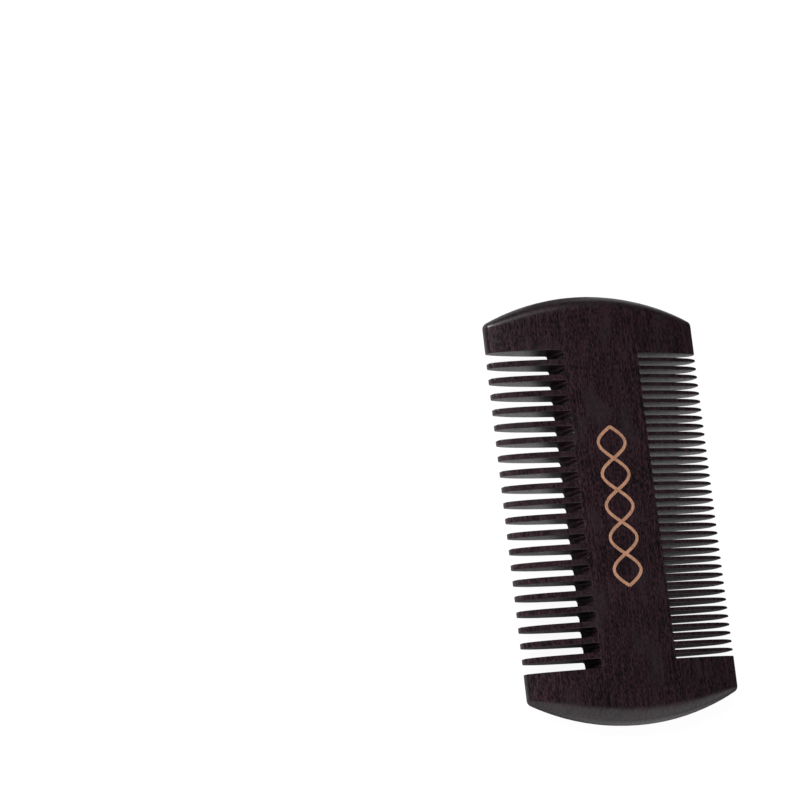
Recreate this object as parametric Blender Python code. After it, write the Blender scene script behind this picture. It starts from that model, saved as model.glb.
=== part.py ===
"""Double-sided wooden beard comb, lying on its back.

Axes: +X across the comb (coarse teeth towards -X, fine teeth towards +X), +Y along it, +Z up out of the front
face. The origin is on the back face, under the middle of the comb. Metres.

The board has one lens-shaped section: flat over the spine, falling along an ellipse to the tooth tips. Every
node is cut from that section, so the spine, end guards and teeth always line up.
"""

import math

import bmesh
import bpy

MM = 0.001

# Board
LENGTH = 110.0 * MM
WIDTH = 61.2 * MM
THICKNESS = 9.0 * MM
LENS_HEIGHT = 9.24 * MM      # full height of the ellipse that the flat faces cut off
LENS_OVERHANG = 0.6 * MM     # how far the ellipse reaches past each row of tips
END_RADIUS = 70.0 * MM       # plan radius of both ends
CORNER_RADIUS = 0.9 * MM     # plan radius where an end meets a side

# Coarse row
COARSE_COUNT = 20
COARSE_PITCH = 3.93 * MM
COARSE_WIDTH = 1.5 * MM
COARSE_LENGTH = 20.0 * MM
COARSE_TIP_SHARE = 0.85      # width left at the squared tip

# Fine row
FINE_COUNT = 36
FINE_PITCH = 2.152 * MM
FINE_WIDTH = 1.06 * MM
FINE_LENGTH = 19.6 * MM
FINE_TIP_SHARE = 0.50        # width left at the rounded point

# Foil ornament: a flat braid of two waves, pressed on the front of the spine
FOIL_LENGTH = 42.4 * MM
FOIL_WIDTH = 8.8 * MM
FOIL_STROKE = 0.85 * MM
FOIL_THICKNESS = 0.1 * MM
FOIL_CELLS = 5
FOIL_LIFT = 0.05 * MM

GAP = 0.3 * MM               # clearance between two nodes that are one board on the real comb
TIP_ROUND = 0.5 * MM         # how far back from a tip its rounding starts
EDGE_CUT = 0.18              # share of a tooth's half width taken off its long edges
TAPER_POWER = 4              # a tooth keeps its width and narrows only near its tip

MID_Z = THICKNESS / 2
COARSE_ROOT_X = -WIDTH / 2 + COARSE_LENGTH
FINE_ROOT_X = WIDTH / 2 - FINE_LENGTH


def row_half_span(count, pitch, width):
    """Half the distance between the two guard edges that close a row of teeth."""
    return (count + 1) * pitch / 2 - width / 2


COARSE_HALF_SPAN = row_half_span(COARSE_COUNT, COARSE_PITCH, COARSE_WIDTH)
FINE_HALF_SPAN = row_half_span(FINE_COUNT, FINE_PITCH, FINE_WIDTH)


def lens_half(x):
    """Half the board's thickness at x."""
    reach = WIDTH / 2 + LENS_OVERHANG
    ellipse = LENS_HEIGHT / 2 * math.sqrt(max(0.0, 1 - (x / reach) ** 2))
    return min(THICKNESS / 2, ellipse)


def flat_half_width():
    """Half the width of the flat strip on each face."""
    reach = WIDTH / 2 + LENS_OVERHANG
    return reach * math.sqrt(max(0.0, 1 - (THICKNESS / LENS_HEIGHT) ** 2))


def end_y(x):
    """Distance from the middle of the comb to its curved end, at x."""
    bow = END_RADIUS - math.sqrt(END_RADIUS ** 2 - x ** 2)
    past = max(0.0, abs(x) - (WIDTH / 2 - CORNER_RADIUS))
    corner = CORNER_RADIUS - math.sqrt(max(0.0, CORNER_RADIUS ** 2 - past ** 2))
    return LENGTH / 2 - bow - corner


def clear_scene():
    """Removes every object from the scene."""
    for item in list(bpy.data.objects):
        bpy.data.objects.remove(item, do_unlink=True)


def make_material(name, colour, roughness, metallic):
    """A plain Principled material."""
    material = bpy.data.materials.new(name)
    material.use_nodes = True
    shader = material.node_tree.nodes["Principled BSDF"]
    shader.inputs["Base Color"].default_value = (*colour, 1.0)
    shader.inputs["Roughness"].default_value = roughness
    shader.inputs["Metallic"].default_value = metallic
    material.diffuse_color = (*colour, 1.0)
    return material


def make_object(name, bm, material):
    """Turns a finished bmesh into a scene object with outward faces."""
    bmesh.ops.recalc_face_normals(bm, faces=bm.faces)
    mesh = bpy.data.meshes.new(name)
    bm.to_mesh(mesh)
    bm.free()
    mesh.materials.append(material)
    item = bpy.data.objects.new(name, mesh)
    bpy.context.scene.collection.objects.link(item)
    return item


def add_ring(bm, points):
    """A closed loop of edges through the points."""
    verts = [bm.verts.new(p) for p in points]
    return [bm.edges.new((a, b)) for a, b in zip(verts, verts[1:] + verts[:1])]


def loft(rings):
    """A closed solid through rings that all have the same number of points."""
    bm = bmesh.new()
    loops = [add_ring(bm, ring) for ring in rings]
    for near, far in zip(loops, loops[1:]):
        bmesh.ops.bridge_loops(bm, edges=near + far)
    for cap in (loops[0], loops[-1]):
        bmesh.ops.contextual_create(bm, geom=cap)
    return bm


def section_ring(x, centre_y, half_y, half_z, cut):
    """An eight-sided ring across a tooth: a rectangle with its corners cut off."""
    near, far = half_y - cut, half_z - cut
    steps = [(half_y, -far), (half_y, far), (near, half_z), (-near, half_z),
             (-half_y, far), (-half_y, -far), (-near, -half_z), (near, -half_z)]
    return [(x, centre_y + y, MID_Z + z) for y, z in steps]


def make_tooth(name, side, root_x, centre_y, width, tip_share, material):
    """One tooth, from its root beside the spine to its tip on the comb's side."""
    tip_x = side * WIDTH / 2
    start_x = root_x + side * GAP
    run = tip_x - start_x
    rings = []
    for share in (0.0, 0.5, 0.82):
        x = start_x + run * share
        half_y = width / 2 * (1 + (tip_share - 1) * share ** TAPER_POWER)
        rings.append(section_ring(x, centre_y, half_y, lens_half(x), EDGE_CUT * half_y))
    shoulder_x = tip_x - side * TIP_ROUND
    half_y = width / 2 * tip_share
    rings.append(section_ring(shoulder_x, centre_y, half_y, lens_half(shoulder_x), EDGE_CUT * half_y))
    rings.append(section_ring(tip_x, centre_y, half_y * 0.55, lens_half(tip_x) * 0.6, EDGE_CUT * half_y * 0.55))
    return make_object(name, loft(rings), material)


def make_row(prefix, side, root_x, count, pitch, width, tip_share, material):
    """All teeth of one row, numbered from the +Y end."""
    first_y = (count - 1) * pitch / 2
    for index in range(count):
        name = f"{prefix}_{index + 1:02d}"
        make_tooth(name, side, root_x, first_y - index * pitch, width, tip_share, material)


def make_spine(material):
    """The solid back between the two rows of roots."""
    flat = flat_half_width()
    stations = [COARSE_ROOT_X, -flat, flat, FINE_ROOT_X]
    over = [(x, MID_Z + lens_half(x)) for x in stations]
    under = [(x, MID_Z - lens_half(x)) for x in reversed(stations)]
    end = min(COARSE_HALF_SPAN, FINE_HALF_SPAN) - GAP
    rings = [[(x, y, z) for x, z in over + under] for y in (-end, end)]
    return make_object("spine", loft(rings), material)


def guard_ring(x, inner_y, direction):
    """The guard's outline across the board's length at x: a flat inner face and a fully rounded end."""
    half_z = lens_half(x)
    centre = end_y(x) - half_z
    turns = [math.radians(a) for a in (90, 60, 30, 0, -30, -60, -90)]
    nose = [(centre + half_z * math.cos(t), half_z * math.sin(t)) for t in turns]
    outline = [(inner_y, half_z)] + nose + [(inner_y, -half_z)]
    return [(x, direction * y, MID_Z + z) for y, z in outline]


def make_guard(name, direction, material):
    """The solid end of the comb: direction is 1 for the +Y end and -1 for the other."""
    inner = min(COARSE_HALF_SPAN, FINE_HALF_SPAN)
    flat = flat_half_width()
    side = WIDTH / 2
    outer = [side, side - 0.25 * CORNER_RADIUS, side - CORNER_RADIUS, 0.88 * side, 0.72 * side, 0.52 * side]
    rings = [guard_ring(-x, COARSE_HALF_SPAN, direction) for x in outer]
    rings.append(guard_ring(COARSE_ROOT_X, COARSE_HALF_SPAN, direction))
    rings.append(guard_ring(COARSE_ROOT_X + 0.01 * MM, inner, direction))
    rings += [guard_ring(x, inner, direction) for x in (-flat, 0.0, flat)]
    rings.append(guard_ring(FINE_ROOT_X, FINE_HALF_SPAN, direction))
    rings += [guard_ring(x, FINE_HALF_SPAN, direction) for x in reversed(outer)]
    return make_object(name, loft(rings), material)


def crotch_share():
    """Share of one braid cell from a crossing to the point where its opening starts."""
    crest = (FOIL_WIDTH - FOIL_STROKE) / 2
    slope = math.pi * FOIL_CELLS * crest / FOIL_LENGTH
    return math.asin(FOIL_STROKE / 2 * math.sqrt(1 + slope ** 2) / crest) / math.pi


def braid_row(cell_share):
    """Outer and inner half widths of the braid at a share of one cell's length."""
    crest = (FOIL_WIDTH - FOIL_STROKE) / 2
    slope = math.pi * FOIL_CELLS * crest / FOIL_LENGTH * math.cos(math.pi * cell_share)
    half_stroke = FOIL_STROKE / 2 * math.sqrt(1 + slope ** 2)
    middle = crest * math.sin(math.pi * cell_share)
    open_here = crotch_share() * 1.001 < cell_share < 1 - crotch_share() * 1.001
    return middle + half_stroke, middle - half_stroke if open_here else 0.0


def make_foil(material, steps=7):
    """The flat braid of two crossing waves on the front of the spine."""
    bm = bmesh.new()
    start = crotch_share()
    shares = [0.0] + [start + (1 - 2 * start) * k / steps for k in range(steps + 1)]
    cell = (FOIL_LENGTH - FOIL_STROKE) / FOIL_CELLS
    stations = [(index, share) for index in range(FOIL_CELLS) for share in shares]
    stations.append((FOIL_CELLS, 0.0))
    rows = []
    for index, share in stations:
        y = (index + share - FOIL_CELLS / 2) * cell
        outer, inner = braid_row(share)
        left = [bm.verts.new((-outer, y, 0.0)), bm.verts.new((-inner, y, 0.0))]
        right = [bm.verts.new((inner, y, 0.0)), bm.verts.new((outer, y, 0.0))]
        rows.append((left, right))
    for low, high in zip(rows, rows[1:]):
        for near, far in zip(low, high):
            bm.faces.new((near[0], near[1], far[1], far[0]))
    bmesh.ops.remove_doubles(bm, verts=bm.verts, dist=0.001 * MM)
    made = bmesh.ops.extrude_face_region(bm, geom=bm.faces[:])
    raised = [v for v in made["geom"] if isinstance(v, bmesh.types.BMVert)]
    bmesh.ops.translate(bm, verts=raised, vec=(0, 0, FOIL_THICKNESS))
    bmesh.ops.translate(bm, verts=bm.verts, vec=(0, 0, THICKNESS + FOIL_LIFT))
    return make_object("foil_braid", bm, material)


def main():
    """Builds the comb."""
    clear_scene()
    wood = make_material("dark_wood", (0.022, 0.014, 0.016), 0.45, 0.0)
    foil = make_material("copper_foil", (0.62, 0.32, 0.19), 0.3, 1.0)
    make_spine(wood)
    make_guard("end_guard_top", 1, wood)
    make_guard("end_guard_bottom", -1, wood)
    make_row("coarse_tooth", -1, COARSE_ROOT_X, COARSE_COUNT, COARSE_PITCH, COARSE_WIDTH, COARSE_TIP_SHARE, wood)
    make_row("fine_tooth", 1, FINE_ROOT_X, FINE_COUNT, FINE_PITCH, FINE_WIDTH, FINE_TIP_SHARE, wood)
    make_foil(foil)


main()
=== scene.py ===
"""A double-sided wooden beard comb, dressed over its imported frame.

The frame gives the overall size, the place of every tooth and the spine's edges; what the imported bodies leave
out, such as fillets, tips and foil thickness, is set here. One continuous body of dark, oiled hardwood stands
for the spine, the end guards and all the teeth, and a braid of copper foil is pressed on its front.

Axes: X across the comb (coarse teeth at -X, fine teeth at +X), Y along the grain, Z out of the front face.
"""

from __future__ import annotations

import logging
import math
from collections.abc import Iterable
from dataclasses import dataclass
from enum import Enum
from typing import Any

import bmesh
import bpy
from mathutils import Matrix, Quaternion, Vector

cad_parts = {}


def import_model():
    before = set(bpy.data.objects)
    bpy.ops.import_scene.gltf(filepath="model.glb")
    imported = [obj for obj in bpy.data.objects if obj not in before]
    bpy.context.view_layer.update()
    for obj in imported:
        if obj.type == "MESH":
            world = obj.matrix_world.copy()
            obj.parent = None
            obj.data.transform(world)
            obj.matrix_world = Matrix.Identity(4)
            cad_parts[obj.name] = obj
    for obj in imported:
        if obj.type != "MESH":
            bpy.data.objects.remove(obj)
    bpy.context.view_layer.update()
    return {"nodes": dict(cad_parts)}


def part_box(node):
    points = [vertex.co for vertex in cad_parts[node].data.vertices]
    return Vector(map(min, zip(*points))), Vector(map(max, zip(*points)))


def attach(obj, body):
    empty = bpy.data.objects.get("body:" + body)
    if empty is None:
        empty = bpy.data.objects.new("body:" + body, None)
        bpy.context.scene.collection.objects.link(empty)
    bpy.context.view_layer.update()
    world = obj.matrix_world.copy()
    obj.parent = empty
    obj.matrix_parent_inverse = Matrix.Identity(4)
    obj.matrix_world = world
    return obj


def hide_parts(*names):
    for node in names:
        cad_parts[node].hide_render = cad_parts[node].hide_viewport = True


LOG = logging.getLogger("comb")
MM = 0.001

SMOOTH_BELOW = math.radians(38)    # faces that meet at less than this are shaded as one surface

Span = tuple[float, float]
Triple = tuple[float, float, float]
Colour = Triple


# Shader building


class Value:
    """A shader socket that adds Math nodes when it is used in an expression."""

    def __init__(self, paint: "Paint", socket: bpy.types.NodeSocket) -> None:
        """Wraps a socket of the tree that paint builds."""
        self.paint = paint
        self.socket = socket

    def _math(self, operation: str, first: Any, second: Any) -> "Value":
        """Adds one Math node and returns its result."""
        return self.paint.add("ShaderNodeMath", {"operation": operation}, {0: first, 1: second})

    def __add__(self, other: Any) -> "Value":
        """self + other"""
        return self._math("ADD", self, other)

    def __radd__(self, other: Any) -> "Value":
        """other + self"""
        return self._math("ADD", other, self)

    def __sub__(self, other: Any) -> "Value":
        """self - other"""
        return self._math("SUBTRACT", self, other)

    def __rsub__(self, other: Any) -> "Value":
        """other - self"""
        return self._math("SUBTRACT", other, self)

    def __mul__(self, other: Any) -> "Value":
        """self * other"""
        return self._math("MULTIPLY", self, other)

    def __rmul__(self, other: Any) -> "Value":
        """other * self"""
        return self._math("MULTIPLY", other, self)

    def __abs__(self) -> "Value":
        """abs(self)"""
        return self._math("ABSOLUTE", self, 0.0)

    def ramp(self, low: float, high: float, start: float = 0.0, end: float = 1.0) -> "Value":
        """Eases from start to end as the value goes from low to high.

        Args:
            low: value that gives start.
            high: value that gives end.
            start: result at low and below.
            end: result at high and above.

        Returns:
            The eased value.
        """
        settings = {"interpolation_type": "SMOOTHSTEP"}
        sockets = {"Value": self, "From Min": low, "From Max": high, "To Min": start, "To Max": end}
        return self.paint.add("ShaderNodeMapRange", settings, sockets)


class Paint:
    """Builds one node tree, of a material or of the world."""

    def __init__(self, tree: bpy.types.NodeTree, shader: str) -> None:
        self.tree = tree
        self.shader = tree.nodes[shader]

    @classmethod
    def material(cls, name: str) -> tuple["Paint", bpy.types.Material]:
        """Starts a material that has only its Principled shader and its output."""
        material = bpy.data.materials.new(name)
        material.use_nodes = True
        return cls(material.node_tree, "Principled BSDF"), material

    def add(
        self, kind: str, settings: dict | None = None, sockets: dict | None = None, out: int | str = 0
    ) -> Value:
        """Adds one node.

        Args:
            kind: the node's type.
            settings: the node's own properties, set first.
            sockets: numbers, colours or values for its inputs, by name or index.
            out: the output to return.

        Returns:
            The chosen output, ready for expressions.
        """
        node = self.tree.nodes.new(kind)
        for name, value in (settings or {}).items():
            setattr(node, name, value)
        for name, value in (sockets or {}).items():
            self.feed(node.inputs[name], value)
        return Value(self, node.outputs[out])

    def feed(self, socket: bpy.types.NodeSocket, value: Any) -> None:
        """Links a value to a socket, or sets the socket's own number or colour."""
        if isinstance(value, Value):
            self.tree.links.new(value.socket, socket)
        elif isinstance(value, tuple) and socket.type == "RGBA":
            socket.default_value = (*value, 1.0)
        else:
            socket.default_value = value

    def mix(self, share: Any, first: Any, second: Any) -> Value:
        """Mixes two colours: share 0 gives the first, 1 the second."""
        settings = {"data_type": "RGBA", "clamp_factor": True}
        return self.add("ShaderNodeMix", settings, {0: share, 6: first, 7: second}, out=2)

    def place(self) -> Value:
        """The point being shaded, in millimetres in the comb's own frame."""
        point = self.add("ShaderNodeTexCoord", out="Object")
        return self.add("ShaderNodeVectorMath", {"operation": "SCALE"}, {0: point, "Scale": 1 / MM})

    def noise(self, place: Value, size: Triple, detail: float = 2.0, roughness: float = 0.5) -> Value:
        """Noise whose blobs are about size millimetres along each axis.

        Args:
            place: point in millimetres.
            size: blob size along X, Y and Z.
            detail: number of finer layers.
            roughness: strength of the finer layers.

        Returns:
            A value around one half.
        """
        share = tuple(1 / s for s in size)
        scaled = self.add("ShaderNodeVectorMath", {"operation": "MULTIPLY"}, {0: place, 1: share})
        sockets = {"Vector": scaled, "Scale": 1.0, "Detail": detail, "Roughness": roughness}
        return self.add("ShaderNodeTexNoise", None, sockets)

    def bump(self, height: Value, depth: float, under: Value | None = None) -> Value:
        """A bumped normal.

        Args:
            height: relief from 0 to 1.
            depth: depth of the relief in metres.
            under: a normal to build on.

        Returns:
            The new normal.
        """
        sockets = {"Strength": 1.0, "Distance": depth, "Height": height}
        if under is not None:
            sockets["Normal"] = under
        return self.add("ShaderNodeBump", None, sockets)

    def finish(self, **sockets: Any) -> None:
        """Feeds the shader node; a socket's name is written with _ for its spaces."""
        for name, value in sockets.items():
            self.feed(self.shader.inputs[name.replace("_", " ")], value)


@dataclass(frozen=True)
class OiledWood:
    """Dark stained hardwood with an oil finish, its grain along Y.

    Noise sizes are in millimetres. A range holds the values between which a feature comes in.
    """

    name: str = "oiled_wood"
    pore: Colour = (0.0020, 0.0010, 0.0014)
    dark: Colour = (0.0018, 0.0006, 0.0010)
    light: Colour = (0.0190, 0.0074, 0.0108)
    dusty: Colour = (0.0110, 0.0085, 0.0091)
    # painted highlight: the neutral grey that the arrises are lightened towards
    arris_highlight: Colour = (0.0450, 0.0360, 0.0370)
    fleck_size: Triple = (0.30, 1.1, 0.30)
    streak_size: Triple = (0.6, 9.0, 0.6)
    cloud_size: Triple = (8.0, 15.0, 8.0)
    pore_size: Triple = (0.12, 1.6, 0.12)
    saw_size: Triple = (0.35, 5.0, 3.0)
    tone_shares: Triple = (0.62, 0.28, 0.10)    # of flecks, streaks and cloud
    tone_range: Span = (0.43, 0.59)
    pore_range: Span = (0.60, 0.72)
    pore_tint: float = 0.7
    dust_range: Span = (0.52, 0.66)
    dust_tint: float = 0.5
    # where the painted highlight on the arrises comes in, and how strongly
    highlight_bend: Span = (0.53, 0.60)
    highlight_flecks: Span = (0.35, 0.65)
    highlight_tint: float = 0.5
    saw_facing: Span = (0.85, 0.97)
    roughness: float = 0.36
    rough_swings: Triple = (0.20, 0.45, 0.20)   # with flecks, streaks and pores
    mirror_level: float = 0.25
    polish: float = 0.55
    polish_range: Span = (0.30, 0.72)
    polish_least: float = 0.35
    polish_lost: float = 0.8                    # share that a pore takes away
    polish_roughness: float = 0.30
    pore_depth: float = 0.018 * MM
    fibre_depth: float = 0.014 * MM
    saw_depth: float = 0.03 * MM

    def make(self) -> bpy.types.Material:
        """Builds the material.

        Returns:
            The finished wood.
        """
        paint, material = Paint.material(self.name)
        place = paint.place()
        flecks = paint.noise(place, self.fleck_size, 3.0, 0.6)
        streaks = paint.noise(place, self.streak_size, 3.0, 0.6)
        cloud = paint.noise(place, self.cloud_size)
        pores = paint.noise(place, self.pore_size, 1.0).ramp(*self.pore_range)
        fleck_share, streak_share, cloud_share = self.tone_shares
        tone = (flecks * fleck_share + streaks * streak_share + cloud * cloud_share).ramp(*self.tone_range)
        colour = paint.mix(tone, self.dark, self.light)
        colour = paint.mix(cloud.ramp(*self.dust_range) * self.dust_tint, colour, self.dusty)
        colour = paint.mix(pores * self.pore_tint, colour, self.pore)
        # painted highlight: the arrises are lightened towards a neutral grey, broken up by the flecks
        edge = self._painted_arris_highlight(paint, flecks)
        colour = paint.mix(edge * self.highlight_tint, colour, self.arris_highlight)
        by_fleck, by_streak, by_pore = self.rough_swings
        rough = self.roughness + (flecks - 0.5) * by_fleck + (streaks - 0.5) * by_streak + pores * by_pore
        polish = self.polish * streaks.ramp(*self.polish_range, 1.0, self.polish_least)
        polish = polish * (1 - pores * self.polish_lost)
        relief = paint.bump(1.0 - pores, self.pore_depth)
        relief = paint.bump(flecks, self.fibre_depth, relief)
        relief = paint.bump(self._saw_marks(paint, place), self.saw_depth, relief)
        paint.finish(
            Base_Color=colour, Roughness=rough, Normal=relief, Specular_IOR_Level=self.mirror_level,
            Coat_Weight=polish, Coat_Roughness=self.polish_roughness,
        )
        return material

    def _painted_arris_highlight(self, paint: Paint, flecks: Value) -> Value:
        """Share of painted highlight: the arrises, where the surface turns most, lightened in patches that
        follow the flecks.
        """
        bend = paint.add("ShaderNodeNewGeometry", out="Pointiness")
        return bend.ramp(*self.highlight_bend) * flecks.ramp(*self.highlight_flecks)

    def _saw_marks(self, paint: Paint, place: Value) -> Value:
        """Relief of the blade on the faces between the teeth, which face along Y."""
        facing = paint.add("ShaderNodeNewGeometry", out="True Normal")
        along = abs(paint.add("ShaderNodeSeparateXYZ", None, {0: facing}, out="Y"))
        return paint.noise(place, self.saw_size, 2.0, 0.6) * along.ramp(*self.saw_facing)


@dataclass(frozen=True)
class CopperFoil:
    """Hot-stamped copper foil: satin, with the wood's grain printing through it."""

    name: str = "copper_foil"
    bright: Colour = (0.56, 0.29, 0.18)
    dull: Colour = (0.38, 0.20, 0.13)
    grain_size: Triple = (0.3, 1.2, 0.3)
    patch_size: Triple = (3.0, 5.0, 3.0)
    tone_range: Span = (0.35, 0.65)
    metal: float = 0.6
    roughness: float = 0.45
    rough_swing: float = 0.25
    grain_depth: float = 0.01 * MM

    def make(self) -> bpy.types.Material:
        """Builds the material.

        Returns:
            The finished foil.
        """
        paint, material = Paint.material(self.name)
        place = paint.place()
        grain = paint.noise(place, self.grain_size, 2.0, 0.6)
        patch = paint.noise(place, self.patch_size)
        tone = (grain * 0.5 + patch * 0.5).ramp(*self.tone_range)
        colour = paint.mix(tone, self.dull, self.bright)
        rough = self.roughness + (grain - 0.5) * self.rough_swing
        relief = paint.bump(grain, self.grain_depth)
        paint.finish(Base_Color=colour, Roughness=rough, Normal=relief, Metallic=self.metal)
        return material


# The wooden body


class Side(Enum):
    """The two rows of teeth, as the sign of X that they point to."""

    COARSE = -1
    FINE = 1


class TipStyle(Enum):
    """How a tooth ends."""

    SQUARED = "squared"
    POINTED = "pointed"


POINT_DEPTH = 0.9     # how much of a pointed tooth's section its rounding takes away
POINT_POWER = 2.4     # how late along the tip that rounding comes


@dataclass
class Board:
    """The blank that the comb is sawn from: a lens-shaped section with two curved ends."""

    half_length: float
    half_width: float
    half_thick: float
    mid_z: float
    lens_half: float = 4.62 * MM       # half height of the ellipse under the flat faces
    lens_overhang: float = 0.6 * MM    # how far that ellipse reaches past the tips
    flat_blend: float = 0.12 * MM      # softens the line where flat turns into ellipse
    end_radius: float = 70.0 * MM
    corner_radius: float = 0.9 * MM
    side_round: float = 0.6 * MM       # rounding of the blank's long sides
    side_turn: float = math.radians(66)

    @classmethod
    def from_frame(cls) -> "Board":
        """Reads the blank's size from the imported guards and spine."""
        low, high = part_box("end_guard_top")
        _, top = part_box("spine")
        return cls(high.y, (high.x - low.x) / 2, top.z / 2, top.z / 2)

    def half_at(self, x: float) -> float:
        """Half the thickness at x: the ellipse, cut flat, then rounded off at the long sides."""
        reach = self.half_width + self.lens_overhang
        lens = self.lens_half * math.sqrt(max(0.0, 1 - (x / reach) ** 2))
        blend = max(self.flat_blend - abs(lens - self.half_thick), 0.0) / self.flat_blend
        half = min(lens, self.half_thick) - blend * blend * self.flat_blend / 4
        past = abs(x) - (self.half_width - self.side_round)
        if past <= 0:
            return half
        return half * math.cos(math.asin(min(1.0, past / self.side_round) * math.sin(self.side_turn)))

    def end_at(self, x: float) -> float:
        """Distance along Y from the middle to the curved end, at x."""
        bow = self.end_radius - math.sqrt(self.end_radius**2 - x * x)
        past = min(max(0.0, abs(x) - (self.half_width - self.corner_radius)), self.corner_radius)
        corner = self.corner_radius - math.sqrt(self.corner_radius**2 - past * past)
        return self.half_length - bow - corner

    def nose_at(self, x: float) -> float:
        """Distance along Y at which the end's full rounding starts, at x."""
        return self.end_at(x) - self.half_at(x)


@dataclass
class ToothRow:
    """One row of teeth and the saw cuts between them."""

    side: Side
    tip: TipStyle
    centres: list[float]
    width: float
    root_x: float
    floor: float              # flat part of a saw cut's end
    tip_width: float          # width where the tip's own rounding starts
    taper_start: float        # share of the length that keeps its width
    tip_length: float         # length of the tip's own rounding
    ridges: tuple[float, ...] = ()      # lines along a cut's end, as shares of its flat part
    ridge_height: float = 0.0
    ridge_slant: float = 0.0            # how far a line runs aside from back to front

    @property
    def pitch(self) -> float:
        """Distance between two teeth."""
        return abs(self.centres[0] - self.centres[-1]) / (len(self.centres) - 1)

    @property
    def slot(self) -> float:
        """Width of a saw cut."""
        return self.pitch - self.width

    @property
    def fillet(self) -> float:
        """Radius of the two corners at the end of a saw cut."""
        return (self.slot - self.floor) / 2

    @property
    def half_span(self) -> float:
        """Distance from the middle to the guards' inner faces."""
        return (len(self.centres) + 1) * self.pitch / 2 - self.width / 2

    def flare(self, depth: float) -> float:
        """How far a wall swells into its cut at a depth out from the cut's end."""
        if depth >= self.fillet:
            return 0.0
        return self.fillet - math.sqrt(self.fillet**2 - (self.fillet - depth) ** 2)

    def half_width_at(self, depth: float, length: float) -> float:
        """Half a tooth's width at a depth out from its root.

        Args:
            depth: distance from the root.
            length: distance from the root to the tip.

        Returns:
            Half the width there.
        """
        left = length - depth
        share = min(1.0, max(0.0, (depth / length - self.taper_start) / (1 - self.taper_start)))
        half = (self.width + (self.tip_width - self.width) * share * share) / 2
        if left < self.tip_length:
            turn = 1 - left / self.tip_length
            if self.tip is TipStyle.SQUARED:
                half -= self.tip_length * (1 - math.sqrt(1 - turn * turn))
            else:
                half *= math.sqrt(1 - POINT_DEPTH * turn**POINT_POWER)
        return half + self.flare(depth)


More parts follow.
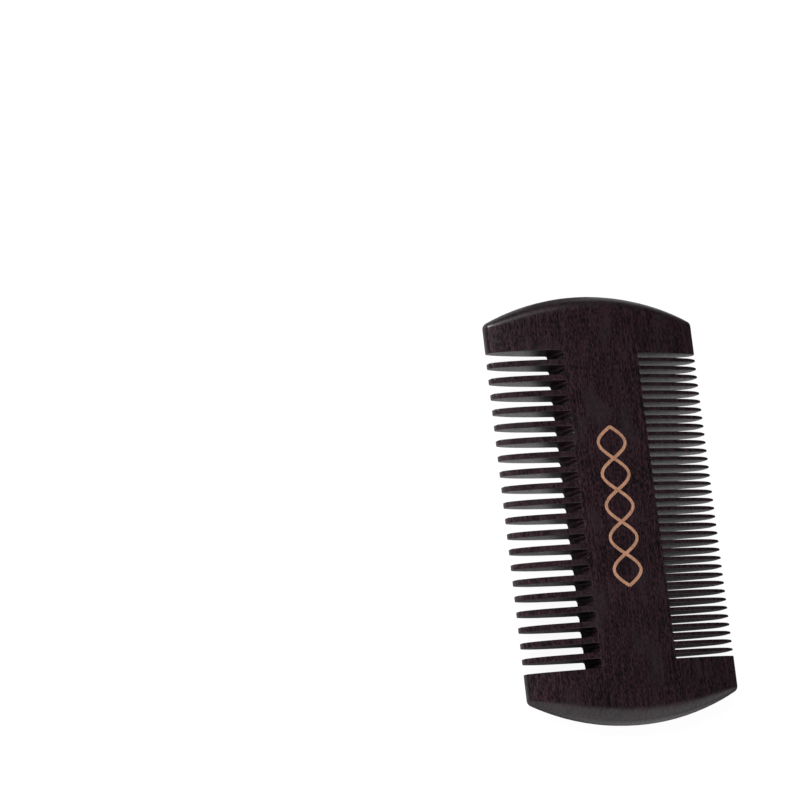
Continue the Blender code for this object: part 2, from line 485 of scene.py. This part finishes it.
class WoodBody:
    """The whole comb in wood, made as it is in the workshop: a shaped blank, sawn from both sides."""

    nose_steps = 14
    core_stations = (0.86, 0.74, 0.55, 0.28, 0.0, -0.28, -0.55, -0.74, -0.86)
    flare_steps = 6
    run_steps = 9
    tip_steps = 8
    arris = 0.13 * MM
    arris_segments = 3
    sharp_angle = math.radians(50)
    weld = 0.0005 * MM
    near = 2 * weld            # points this close to a plane lie in it
    loose = 4 * weld           # points this close to a line belong to it
    ridge_reach = 0.90         # share of the thickness that a saw ridge spans
    ridge_slack = 0.01

    def __init__(self, board: Board, rows: tuple[ToothRow, ToothRow]) -> None:
        """Keeps the blank and the two rows."""
        self.board = board
        self.rows = rows

    def build(self, wood: bpy.types.Material) -> bpy.types.Object:
        """Models the body.

        Args:
            wood: its finish.

        Returns:
            The finished piece, at the origin.
        """
        bm = bmesh.new()
        self._make_core(bm)
        for row in self.rows:
            self._mark_cuts(bm, row)
            self._draw_teeth(bm, row)
        bmesh.ops.remove_doubles(bm, verts=bm.verts, dist=self.weld)
        for row in self.rows:
            self._raise_ridges(bm, row)
        self._ease_arrises(bm)
        bmesh.ops.recalc_face_normals(bm, faces=bm.faces)
        return finish_piece("comb_body", bm, wood)

    def _make_core(self, bm: bmesh.types.BMesh) -> None:
        """The solid back from one row of roots to the other, with both rounded ends."""
        start, end = self.rows[0].root_x, self.rows[1].root_x
        board = self.board
        nose, half = board.nose_at(start), board.half_at(start)
        turns = [math.pi * (0.5 - k / self.nose_steps) for k in range(self.nose_steps + 1)]
        top = [(nose + half * math.cos(t), half * math.sin(t)) for t in turns]
        outline = top + [(-y, -z) for y, z in top]
        verts = [bm.verts.new((start, y, board.mid_z + z)) for y, z in outline]
        face = bm.faces.new(verts)
        stations = [start * s for s in self.core_stations if s > 0]
        stations += [end * -s for s in self.core_stations if s <= 0] + [end]
        before = start
        for x in stations:
            face = self._extrude(bm, [face], keep=before == start)[0]
            for vert in face.verts:
                vert.co = self._carry_end(vert.co, before, x, None)
            before = x

    def _extrude(
        self, bm: bmesh.types.BMesh, faces: list[bmesh.types.BMFace], keep: bool
    ) -> list[bmesh.types.BMFace]:
        """Extrudes a region in place.

        Args:
            bm: the mesh.
            faces: the region.
            keep: whether the region's old faces stay, to close the solid behind it.

        Returns:
            The region's new faces.
        """
        made = bmesh.ops.extrude_face_region(bm, geom=faces)
        if not keep:
            bmesh.ops.delete(bm, geom=faces, context="FACES_ONLY")
        return [g for g in made["geom"] if isinstance(g, bmesh.types.BMFace)]

    def _carry_end(self, point: Vector, before: float, x: float, inner: float | None) -> Vector:
        """Moves a point of the rounded end from one station to another.

        Args:
            point: a point on the section at before.
            before: the station that the point is at.
            x: the station to carry it to.
            inner: where the guard's inner face lies at x, or None over the spine.

        Returns:
            The same point of the section at x.
        """
        board = self.board
        sign = math.copysign(1.0, point.y)
        out = abs(point.y) - board.nose_at(before)
        rise = point.z - board.mid_z
        if inner is not None and out < -self.near:
            return Vector((x, sign * inner, board.mid_z + math.copysign(board.half_at(x), rise)))
        turn = math.atan2(rise, max(out, 0.0))
        half = board.half_at(x)
        y = sign * (board.nose_at(x) + half * math.cos(turn))
        return Vector((x, y, board.mid_z + half * math.sin(turn)))

    def _root_faces(self, bm: bmesh.types.BMesh, row: ToothRow) -> list[bmesh.types.BMFace]:
        """The upright faces in the plane of a row's roots."""
        return [f for f in bm.faces if all(abs(v.co.x - row.root_x) < self.near for v in f.verts)]

    def _floor_faces(self, bm: bmesh.types.BMesh, row: ToothRow) -> list[bmesh.types.BMFace]:
        """The faces at the flat ends of a row's cuts, with their ridges."""
        near = row.ridge_height + self.near
        return [f for f in bm.faces if all(abs(v.co.x - row.root_x) < near for v in f.verts)]

    def _cut_floor(self, bm: bmesh.types.BMesh, row: ToothRow, middle: float) -> list[bmesh.types.BMFace]:
        """The faces at the flat end of the cut whose middle lies at Y = middle."""
        reach = row.floor / 2
        return [f for f in self._root_faces(bm, row) if abs(f.calc_center_bounds().y - middle) < reach]

    def _slice(
        self, bm: bmesh.types.BMesh, faces: Iterable[bmesh.types.BMFace], normal: Triple, offset: float
    ) -> None:
        """Divides some faces along a plane.

        Args:
            bm: the mesh.
            faces: the faces to divide.
            normal: the plane's normal, along one axis.
            offset: where the plane lies on that axis.
        """
        geom = list({g for f in faces for g in (f, *f.edges, *f.verts)})
        place = tuple(n * offset for n in normal)
        bmesh.ops.bisect_plane(bm, geom=geom, plane_co=place, plane_no=normal, dist=self.weld)

    def _mark_cuts(self, bm: bmesh.types.BMesh, row: ToothRow) -> None:
        """Divides the root plane into tooth bases, floors of cuts, and the two guard bases."""
        base = row.width / 2 + row.fillet
        lines = [c + s * base for c in row.centres for s in (-1, 1)]
        lines += [s * (row.half_span - row.fillet) for s in (-1, 1)]
        for y in lines:
            faces = {f for root in self._root_faces(bm, row) for e in root.edges for f in e.link_faces}
            self._slice(bm, faces, (0, 1, 0), y)

    def _owner(self, row: ToothRow, y: float) -> float | None:
        """The centre of the tooth whose base or body holds y, or None in a floor or guard."""
        nearest = min(row.centres, key=lambda c: abs(c - y))
        return nearest if abs(nearest - y) < row.width / 2 + row.fillet + self.loose else None

    def _stations(self, row: ToothRow) -> list[float]:
        """Depths from the roots at which the teeth get a ring, out to the tips."""
        length = self.board.half_width - abs(row.root_x)
        quarter = math.pi / 2
        flare_turns = [quarter * k / self.flare_steps for k in range(1, self.flare_steps + 1)]
        run_turns = [quarter * k / self.run_steps for k in range(1, self.run_steps + 1)]
        tip_turns = [quarter * k / self.tip_steps for k in range(1, self.tip_steps + 1)]
        tip = self.board.corner_radius
        start, end = row.fillet, length - tip
        flare = [row.fillet * (1 - math.cos(t)) for t in flare_turns]
        run = [start + (end - start) * math.sin(t) for t in run_turns]
        last = [length - tip * (1 - math.sin(t)) for t in tip_turns]
        return flare + run + last

    def _draw_teeth(self, bm: bmesh.types.BMesh, row: ToothRow) -> None:
        """Draws the teeth and guards of one row out of their bases, ring by ring."""
        sign = row.side.value
        length = self.board.half_width - abs(row.root_x)
        guard = row.half_span - row.fillet
        faces = []
        for face in self._root_faces(bm, row):
            y = face.calc_center_bounds().y
            if abs(y) > guard or self._owner(row, y) is not None:
                faces.append(face)
        before = row.root_x
        for depth in self._stations(row):
            x = row.root_x + sign * depth
            half_y, half_z = row.half_width_at(depth, length), self.board.half_at(x)
            inner = row.half_span - row.flare(depth)
            faces = self._extrude(bm, faces, keep=False)
            for vert in {v for f in faces for v in f.verts}:
                centre = None if abs(vert.co.y) > guard - self.weld else self._owner(row, vert.co.y)
                if centre is None:
                    vert.co = self._carry_end(vert.co, before, x, inner)
                    continue
                up = math.copysign(half_z, vert.co.z - self.board.mid_z)
                out = math.copysign(half_y, vert.co.y - centre)
                vert.co = (x, centre + out, self.board.mid_z + up)
            before = x

    def _raise_ridges(self, bm: bmesh.types.BMesh, row: ToothRow) -> None:
        """Leaves, on the end of each cut, the ridges and furrows between neighbouring passes of the saw."""
        first = row.centres[0] + row.pitch / 2
        edge = self.board.half_at(row.root_x)
        heights = [self.board.mid_z + s * edge for s in (-self.ridge_reach, 0.0, self.ridge_reach)]
        for index in range(len(row.centres) + 1):
            middle = first - index * row.pitch
            planes = [((0, 1, 0), middle + s * row.floor) for s in row.ridges]
            planes += [((0, 0, 1), z) for z in heights]
            for normal, offset in planes:
                self._slice(bm, self._cut_floor(bm, row, middle), normal, offset)
            for vert in {v for f in self._cut_floor(bm, row, middle) for v in f.verts}:
                rise = (vert.co.z - self.board.mid_z) / edge
                aside = vert.co.y - middle
                lines = [k for k, s in enumerate(row.ridges) if abs(aside - s * row.floor) < self.loose]
                if lines and abs(rise) < self.ridge_reach + self.ridge_slack:
                    height = row.ridge_height * (-1.0 if lines[0] % 2 else 1.0)
                    vert.co.x += row.side.value * height
                    vert.co.y += row.ridge_slant * rise

    def _ease_arrises(self, bm: bmesh.types.BMesh) -> None:
        """Rounds every sawn edge a little, as sanding and oil leave it."""
        floors = {f for row in self.rows for f in self._floor_faces(bm, row)}
        sharp = [
            e for e in bm.edges
            if e.calc_face_angle(0.0) > self.sharp_angle and not floors.issuperset(e.link_faces)
        ]
        bmesh.ops.bevel(
            bm, geom=sharp, offset=self.arris, offset_type="OFFSET", segments=self.arris_segments,
            profile=0.5, affect="EDGES", clamp_overlap=False, material=-1,
        )


# The foil


@dataclass
class FoilBraid:
    """Two crossing waves of foil, stamped along the middle of the spine."""

    low: Vector
    high: Vector
    stroke: float = 0.85 * MM
    cells: int = 5
    steps: int = 160
    lift: float = 0.03 * MM
    thick: float = 0.03 * MM
    weave: float = 0.02 * MM      # how far a strand rises over the other where they cross

    @classmethod
    def from_frame(cls) -> "FoilBraid":
        """Reads the stamp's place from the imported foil."""
        return cls(*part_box("foil_braid"))

    def build(self, foil: bpy.types.Material, face_z: float) -> bpy.types.Object:
        """Models the braid.

        Args:
            foil: its finish.
            face_z: height of the spine's front face.

        Returns:
            The finished piece, at the origin.
        """
        bm = bmesh.new()
        for sign in (-1, 1):
            self._strand(bm, sign, face_z + self.lift)
        bmesh.ops.recalc_face_normals(bm, faces=bm.faces)
        return finish_piece("foil_stamp", bm, foil)

    def _strand(self, bm: bmesh.types.BMesh, sign: int, z: float) -> None:
        """One wave, drawn out of a thin bar along its centre line."""
        length = self.high.y - self.low.y - self.stroke
        crest = (self.high.x - self.low.x - self.stroke) / 2
        middle = (self.low + self.high) / 2
        made = bmesh.ops.create_grid(bm, x_segments=2, y_segments=self.steps, size=0.5)
        verts = made["verts"]
        for vert in verts:
            across, share = vert.co.x * self.stroke, vert.co.y + 0.5
            phase = math.pi * self.cells * share
            slope = math.pi * self.cells * crest / length * math.cos(phase) * sign
            turn = math.atan(slope)
            x = middle.x + sign * crest * math.sin(phase) + across * math.cos(turn)
            y = middle.y + (share - 0.5) * length - across * math.sin(turn)
            vert.co = (x, y, z + sign * self.weave * math.cos(phase))
        faces = list({f for v in verts for f in v.link_faces})
        raised = bmesh.ops.extrude_face_region(bm, geom=faces, use_keep_orig=True)
        lifted = [g for g in raised["geom"] if isinstance(g, bmesh.types.BMVert)]
        bmesh.ops.translate(bm, verts=lifted, vec=(0, 0, self.thick))


# Making pieces, floor, lights and camera


def finish_piece(name: str, bm: bmesh.types.BMesh, material: bpy.types.Material) -> bpy.types.Object:
    """Turns a bmesh into a smooth-shaded object at the origin.

    Args:
        name: the piece's name.
        bm: its mesh, which is freed.
        material: its finish.

    Returns:
        The new object.
    """
    mesh = bpy.data.meshes.new(name)
    bm.to_mesh(mesh)
    bm.free()
    mesh.materials.append(material)
    mesh.shade_smooth()
    mesh.set_sharp_from_angle(angle=SMOOTH_BELOW)
    piece = bpy.data.objects.new(name, mesh)
    bpy.context.scene.collection.objects.link(piece)
    weights = piece.modifiers.new("face_weights", "WEIGHTED_NORMAL")
    weights.keep_sharp = True
    LOG.info("%s: %d faces", name, len(mesh.polygons))
    return piece


@dataclass(frozen=True)
class Lamp:
    """A soft lamp that points at the comb's middle."""

    name: str
    place: tuple[float, float, float]
    width: float
    length: float          # along Y
    power: float
    mirrored: bool = True  # whether glossy surfaces show it

    def build(self) -> None:
        """Hangs the lamp."""
        data = bpy.data.lights.new(self.name, "AREA")
        data.shape = "RECTANGLE"
        data.size, data.size_y = self.width, self.length
        data.energy = self.power
        lamp = bpy.data.objects.new(self.name, data)
        lamp.visible_camera = False
        lamp.visible_glossy = self.mirrored
        lamp.location = self.place
        lamp.rotation_mode = "QUATERNION"
        lamp.rotation_quaternion = Vector(self.place).to_track_quat("Z", "Y")
        bpy.context.scene.collection.objects.link(lamp)


@dataclass
class Studio:
    """A pale table, three soft lamps, and a room that is bright beyond the comb's lower end.

    To the eye the table and the room are evenly pale; what they give to reflections and light is graded. The
    table's spans are in millimetres along X or Y.
    """

    floor_size: float = 3.0
    floor_seen: float = 0.93
    floor_tone: float = 0.12
    glow_far: float = 0.03
    glow_open: float = 0.75
    glow_under: float = 0.42
    # spans in which the table's painted glow and painted shade change
    comb_left: Span = (-36, -28)
    comb_low: Span = (-64, -54)
    comb_right: Span = (30, 55)
    spine_left: Span = (-18, -12)
    spine_right: Span = (4, 10)
    lower_half: Span = (-30, 15)
    lower_glow: float = 0.12
    room_seen: float = 0.92
    room_bright: float = 1.20
    room_dark: float = 0.02
    room_turn: Span = (-0.42, -0.08)    # share of the view direction along Y
    lamps: tuple[Lamp, ...] = (
        Lamp("key", (-0.27, 0.46, 0.52), 0.20, 0.14, 4.2),
        Lamp("top", (-0.04, 0.50, 0.42), 0.50, 0.25, 0.65),
        Lamp("side", (-0.105, 0.0, 0.050), 0.04, 0.20, 0.30, mirrored=False),
    )

    def build(self) -> None:
        """Makes the floor, the lamps and the room."""
        self._floor()
        for lamp in self.lamps:
            lamp.build()
        self._room()

    def _floor(self) -> None:
        """The pale table that the comb lies on. It glows: evenly pale to the eye, and with a painted glow and
        painted shade in what it gives to reflections and light.
        """
        bm = bmesh.new()
        bmesh.ops.create_grid(bm, x_segments=1, y_segments=1, size=self.floor_size / 2)
        mesh = bpy.data.meshes.new("table")
        bm.to_mesh(mesh)
        bm.free()
        paint, material = Paint.material("white_table")
        seen = paint.add("ShaderNodeLightPath", out="Is Camera Ray")
        strength = seen * self.floor_seen + (1 - seen) * self._glow(paint)
        paint.finish(
            Base_Color=(self.floor_tone,) * 3, Roughness=0.9, Specular_IOR_Level=0.0,
            Emission_Color=(1.0, 1.0, 1.0), Emission_Strength=strength,
        )
        mesh.materials.append(material)
        table = bpy.data.objects.new("table", mesh)
        bpy.context.scene.collection.objects.link(table)

    def _glow(self, paint: Paint) -> Value:
        """What the table gives to reflections: a painted glow, bright at the left and below, with painted shade
        where the comb would shade it.
        """
        place = paint.place()
        across = paint.add("ShaderNodeSeparateXYZ", None, {0: place}, out="X")
        along = paint.add("ShaderNodeSeparateXYZ", None, {0: place}, out="Y")
        inward = across.ramp(*self.comb_left)
        upward = along.ramp(*self.comb_low)
        leftward = across.ramp(*self.comb_right, 1.0, 0.0)
        open_share = (1 - inward * upward) * leftward
        spine_shade = across.ramp(*self.spine_left) * across.ramp(*self.spine_right, 1.0, 0.0)
        shade = (1 - spine_shade) * along.ramp(*self.lower_half, self.lower_glow, 1.0) * leftward
        open_glow = open_share * (self.glow_open - self.glow_far)
        return self.glow_far + open_glow + (1 - open_share) * shade * self.glow_under

    def _room(self) -> None:
        """A room that is white beyond the comb's lower end and dark elsewhere; to the eye it is pale."""
        world = bpy.data.worlds.new("room")
        world.use_nodes = True
        bpy.context.scene.world = world
        paint = Paint(world.node_tree, "Background")
        direction = paint.add("ShaderNodeTexCoord", out="Generated")
        along = paint.add("ShaderNodeSeparateXYZ", None, {0: direction}, out="Y")
        bright = along.ramp(*self.room_turn, 1.0, 0.0)
        light = self.room_dark + bright * (self.room_bright - self.room_dark)
        seen = paint.add("ShaderNodeLightPath", out="Is Camera Ray")
        paint.finish(Color=(1.0, 1.0, 1.0), Strength=seen * self.room_seen + (1 - seen) * light)


@dataclass
class Viewpoint:
    """The camera, as a turn round the point that it looks at."""

    azimuth: float = math.radians(-69.29)
    elevation: float = math.radians(60.5)
    roll: float = math.radians(65.25)
    distance: float = 0.8124
    aim: tuple[float, float, float] = (-0.05631, 0.02931, 0.00443)
    lens: float = 148.19
    sensor: float = 36.0
    clip: Span = (0.01, 20.0)

    def build(self) -> None:
        """Makes the camera and gives it to the scene."""
        data = bpy.data.cameras.new("camera")
        data.lens = self.lens
        data.sensor_width = self.sensor
        data.clip_start, data.clip_end = self.clip
        flat = math.cos(self.elevation)
        side, front = math.sin(self.azimuth) * flat, -math.cos(self.azimuth) * flat
        back = Vector((side, front, math.sin(self.elevation)))
        camera = bpy.data.objects.new("camera", data)
        camera.location = Vector(self.aim) + back * self.distance
        camera.rotation_mode = "QUATERNION"
        camera.rotation_quaternion = Quaternion(back, self.roll) @ back.to_track_quat("Z", "Y")
        bpy.context.scene.collection.objects.link(camera)
        bpy.context.scene.camera = camera


# The comb


def read_rows(frame: dict[str, Any]) -> tuple[ToothRow, ToothRow]:
    """Reads both rows of teeth from the frame.


    Returns:
        The coarse row and the fine row.
    """
    spine_low, spine_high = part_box("spine")
    rows = []
    sides = ((Side.COARSE, "coarse_tooth", spine_low.x), (Side.FINE, "fine_tooth", spine_high.x))
    for side, prefix, edge in sides:
        boxes = [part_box(name) for name in sorted(frame["nodes"]) if name.startswith(prefix)]
        centres = [(low.y + high.y) / 2 for low, high in boxes]
        width = boxes[0][1].y - boxes[0][0].y
        if side is Side.COARSE:
            rows.append(ToothRow(
                side, TipStyle.SQUARED, centres, width, edge, floor=1.1 * MM, tip_width=0.9 * width,
                taper_start=0.6, tip_length=0.34 * MM, ridges=(-0.3, 0.0, 0.3), ridge_height=0.11 * MM,
                ridge_slant=0.12 * MM,
            ))
        else:
            rows.append(ToothRow(
                side, TipStyle.POINTED, centres, width, edge, floor=0.3 * MM, tip_width=0.8 * width,
                taper_start=0.35, tip_length=3.2 * MM,
            ))
    return rows[0], rows[1]


def main() -> None:
    """Builds the comb, its stage and its camera."""
    logging.basicConfig(level=logging.INFO, format="%(name)s %(message)s")
    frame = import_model()
    Viewpoint().build()
    Studio().build()
    board = Board.from_frame()
    rows = read_rows(frame)
    body = WoodBody(board, rows).build(OiledWood().make())
    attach(body, "root")
    wooden = [name for name in sorted(frame["nodes"]) if name != "foil_braid"]
    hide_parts(*wooden)
    braid = FoilBraid.from_frame().build(CopperFoil().make(), 2 * board.half_thick)
    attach(braid, "root")
    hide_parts("foil_braid")
    bpy.context.scene.view_settings.view_transform = "Standard"


if __name__ == "__main__":
    main()
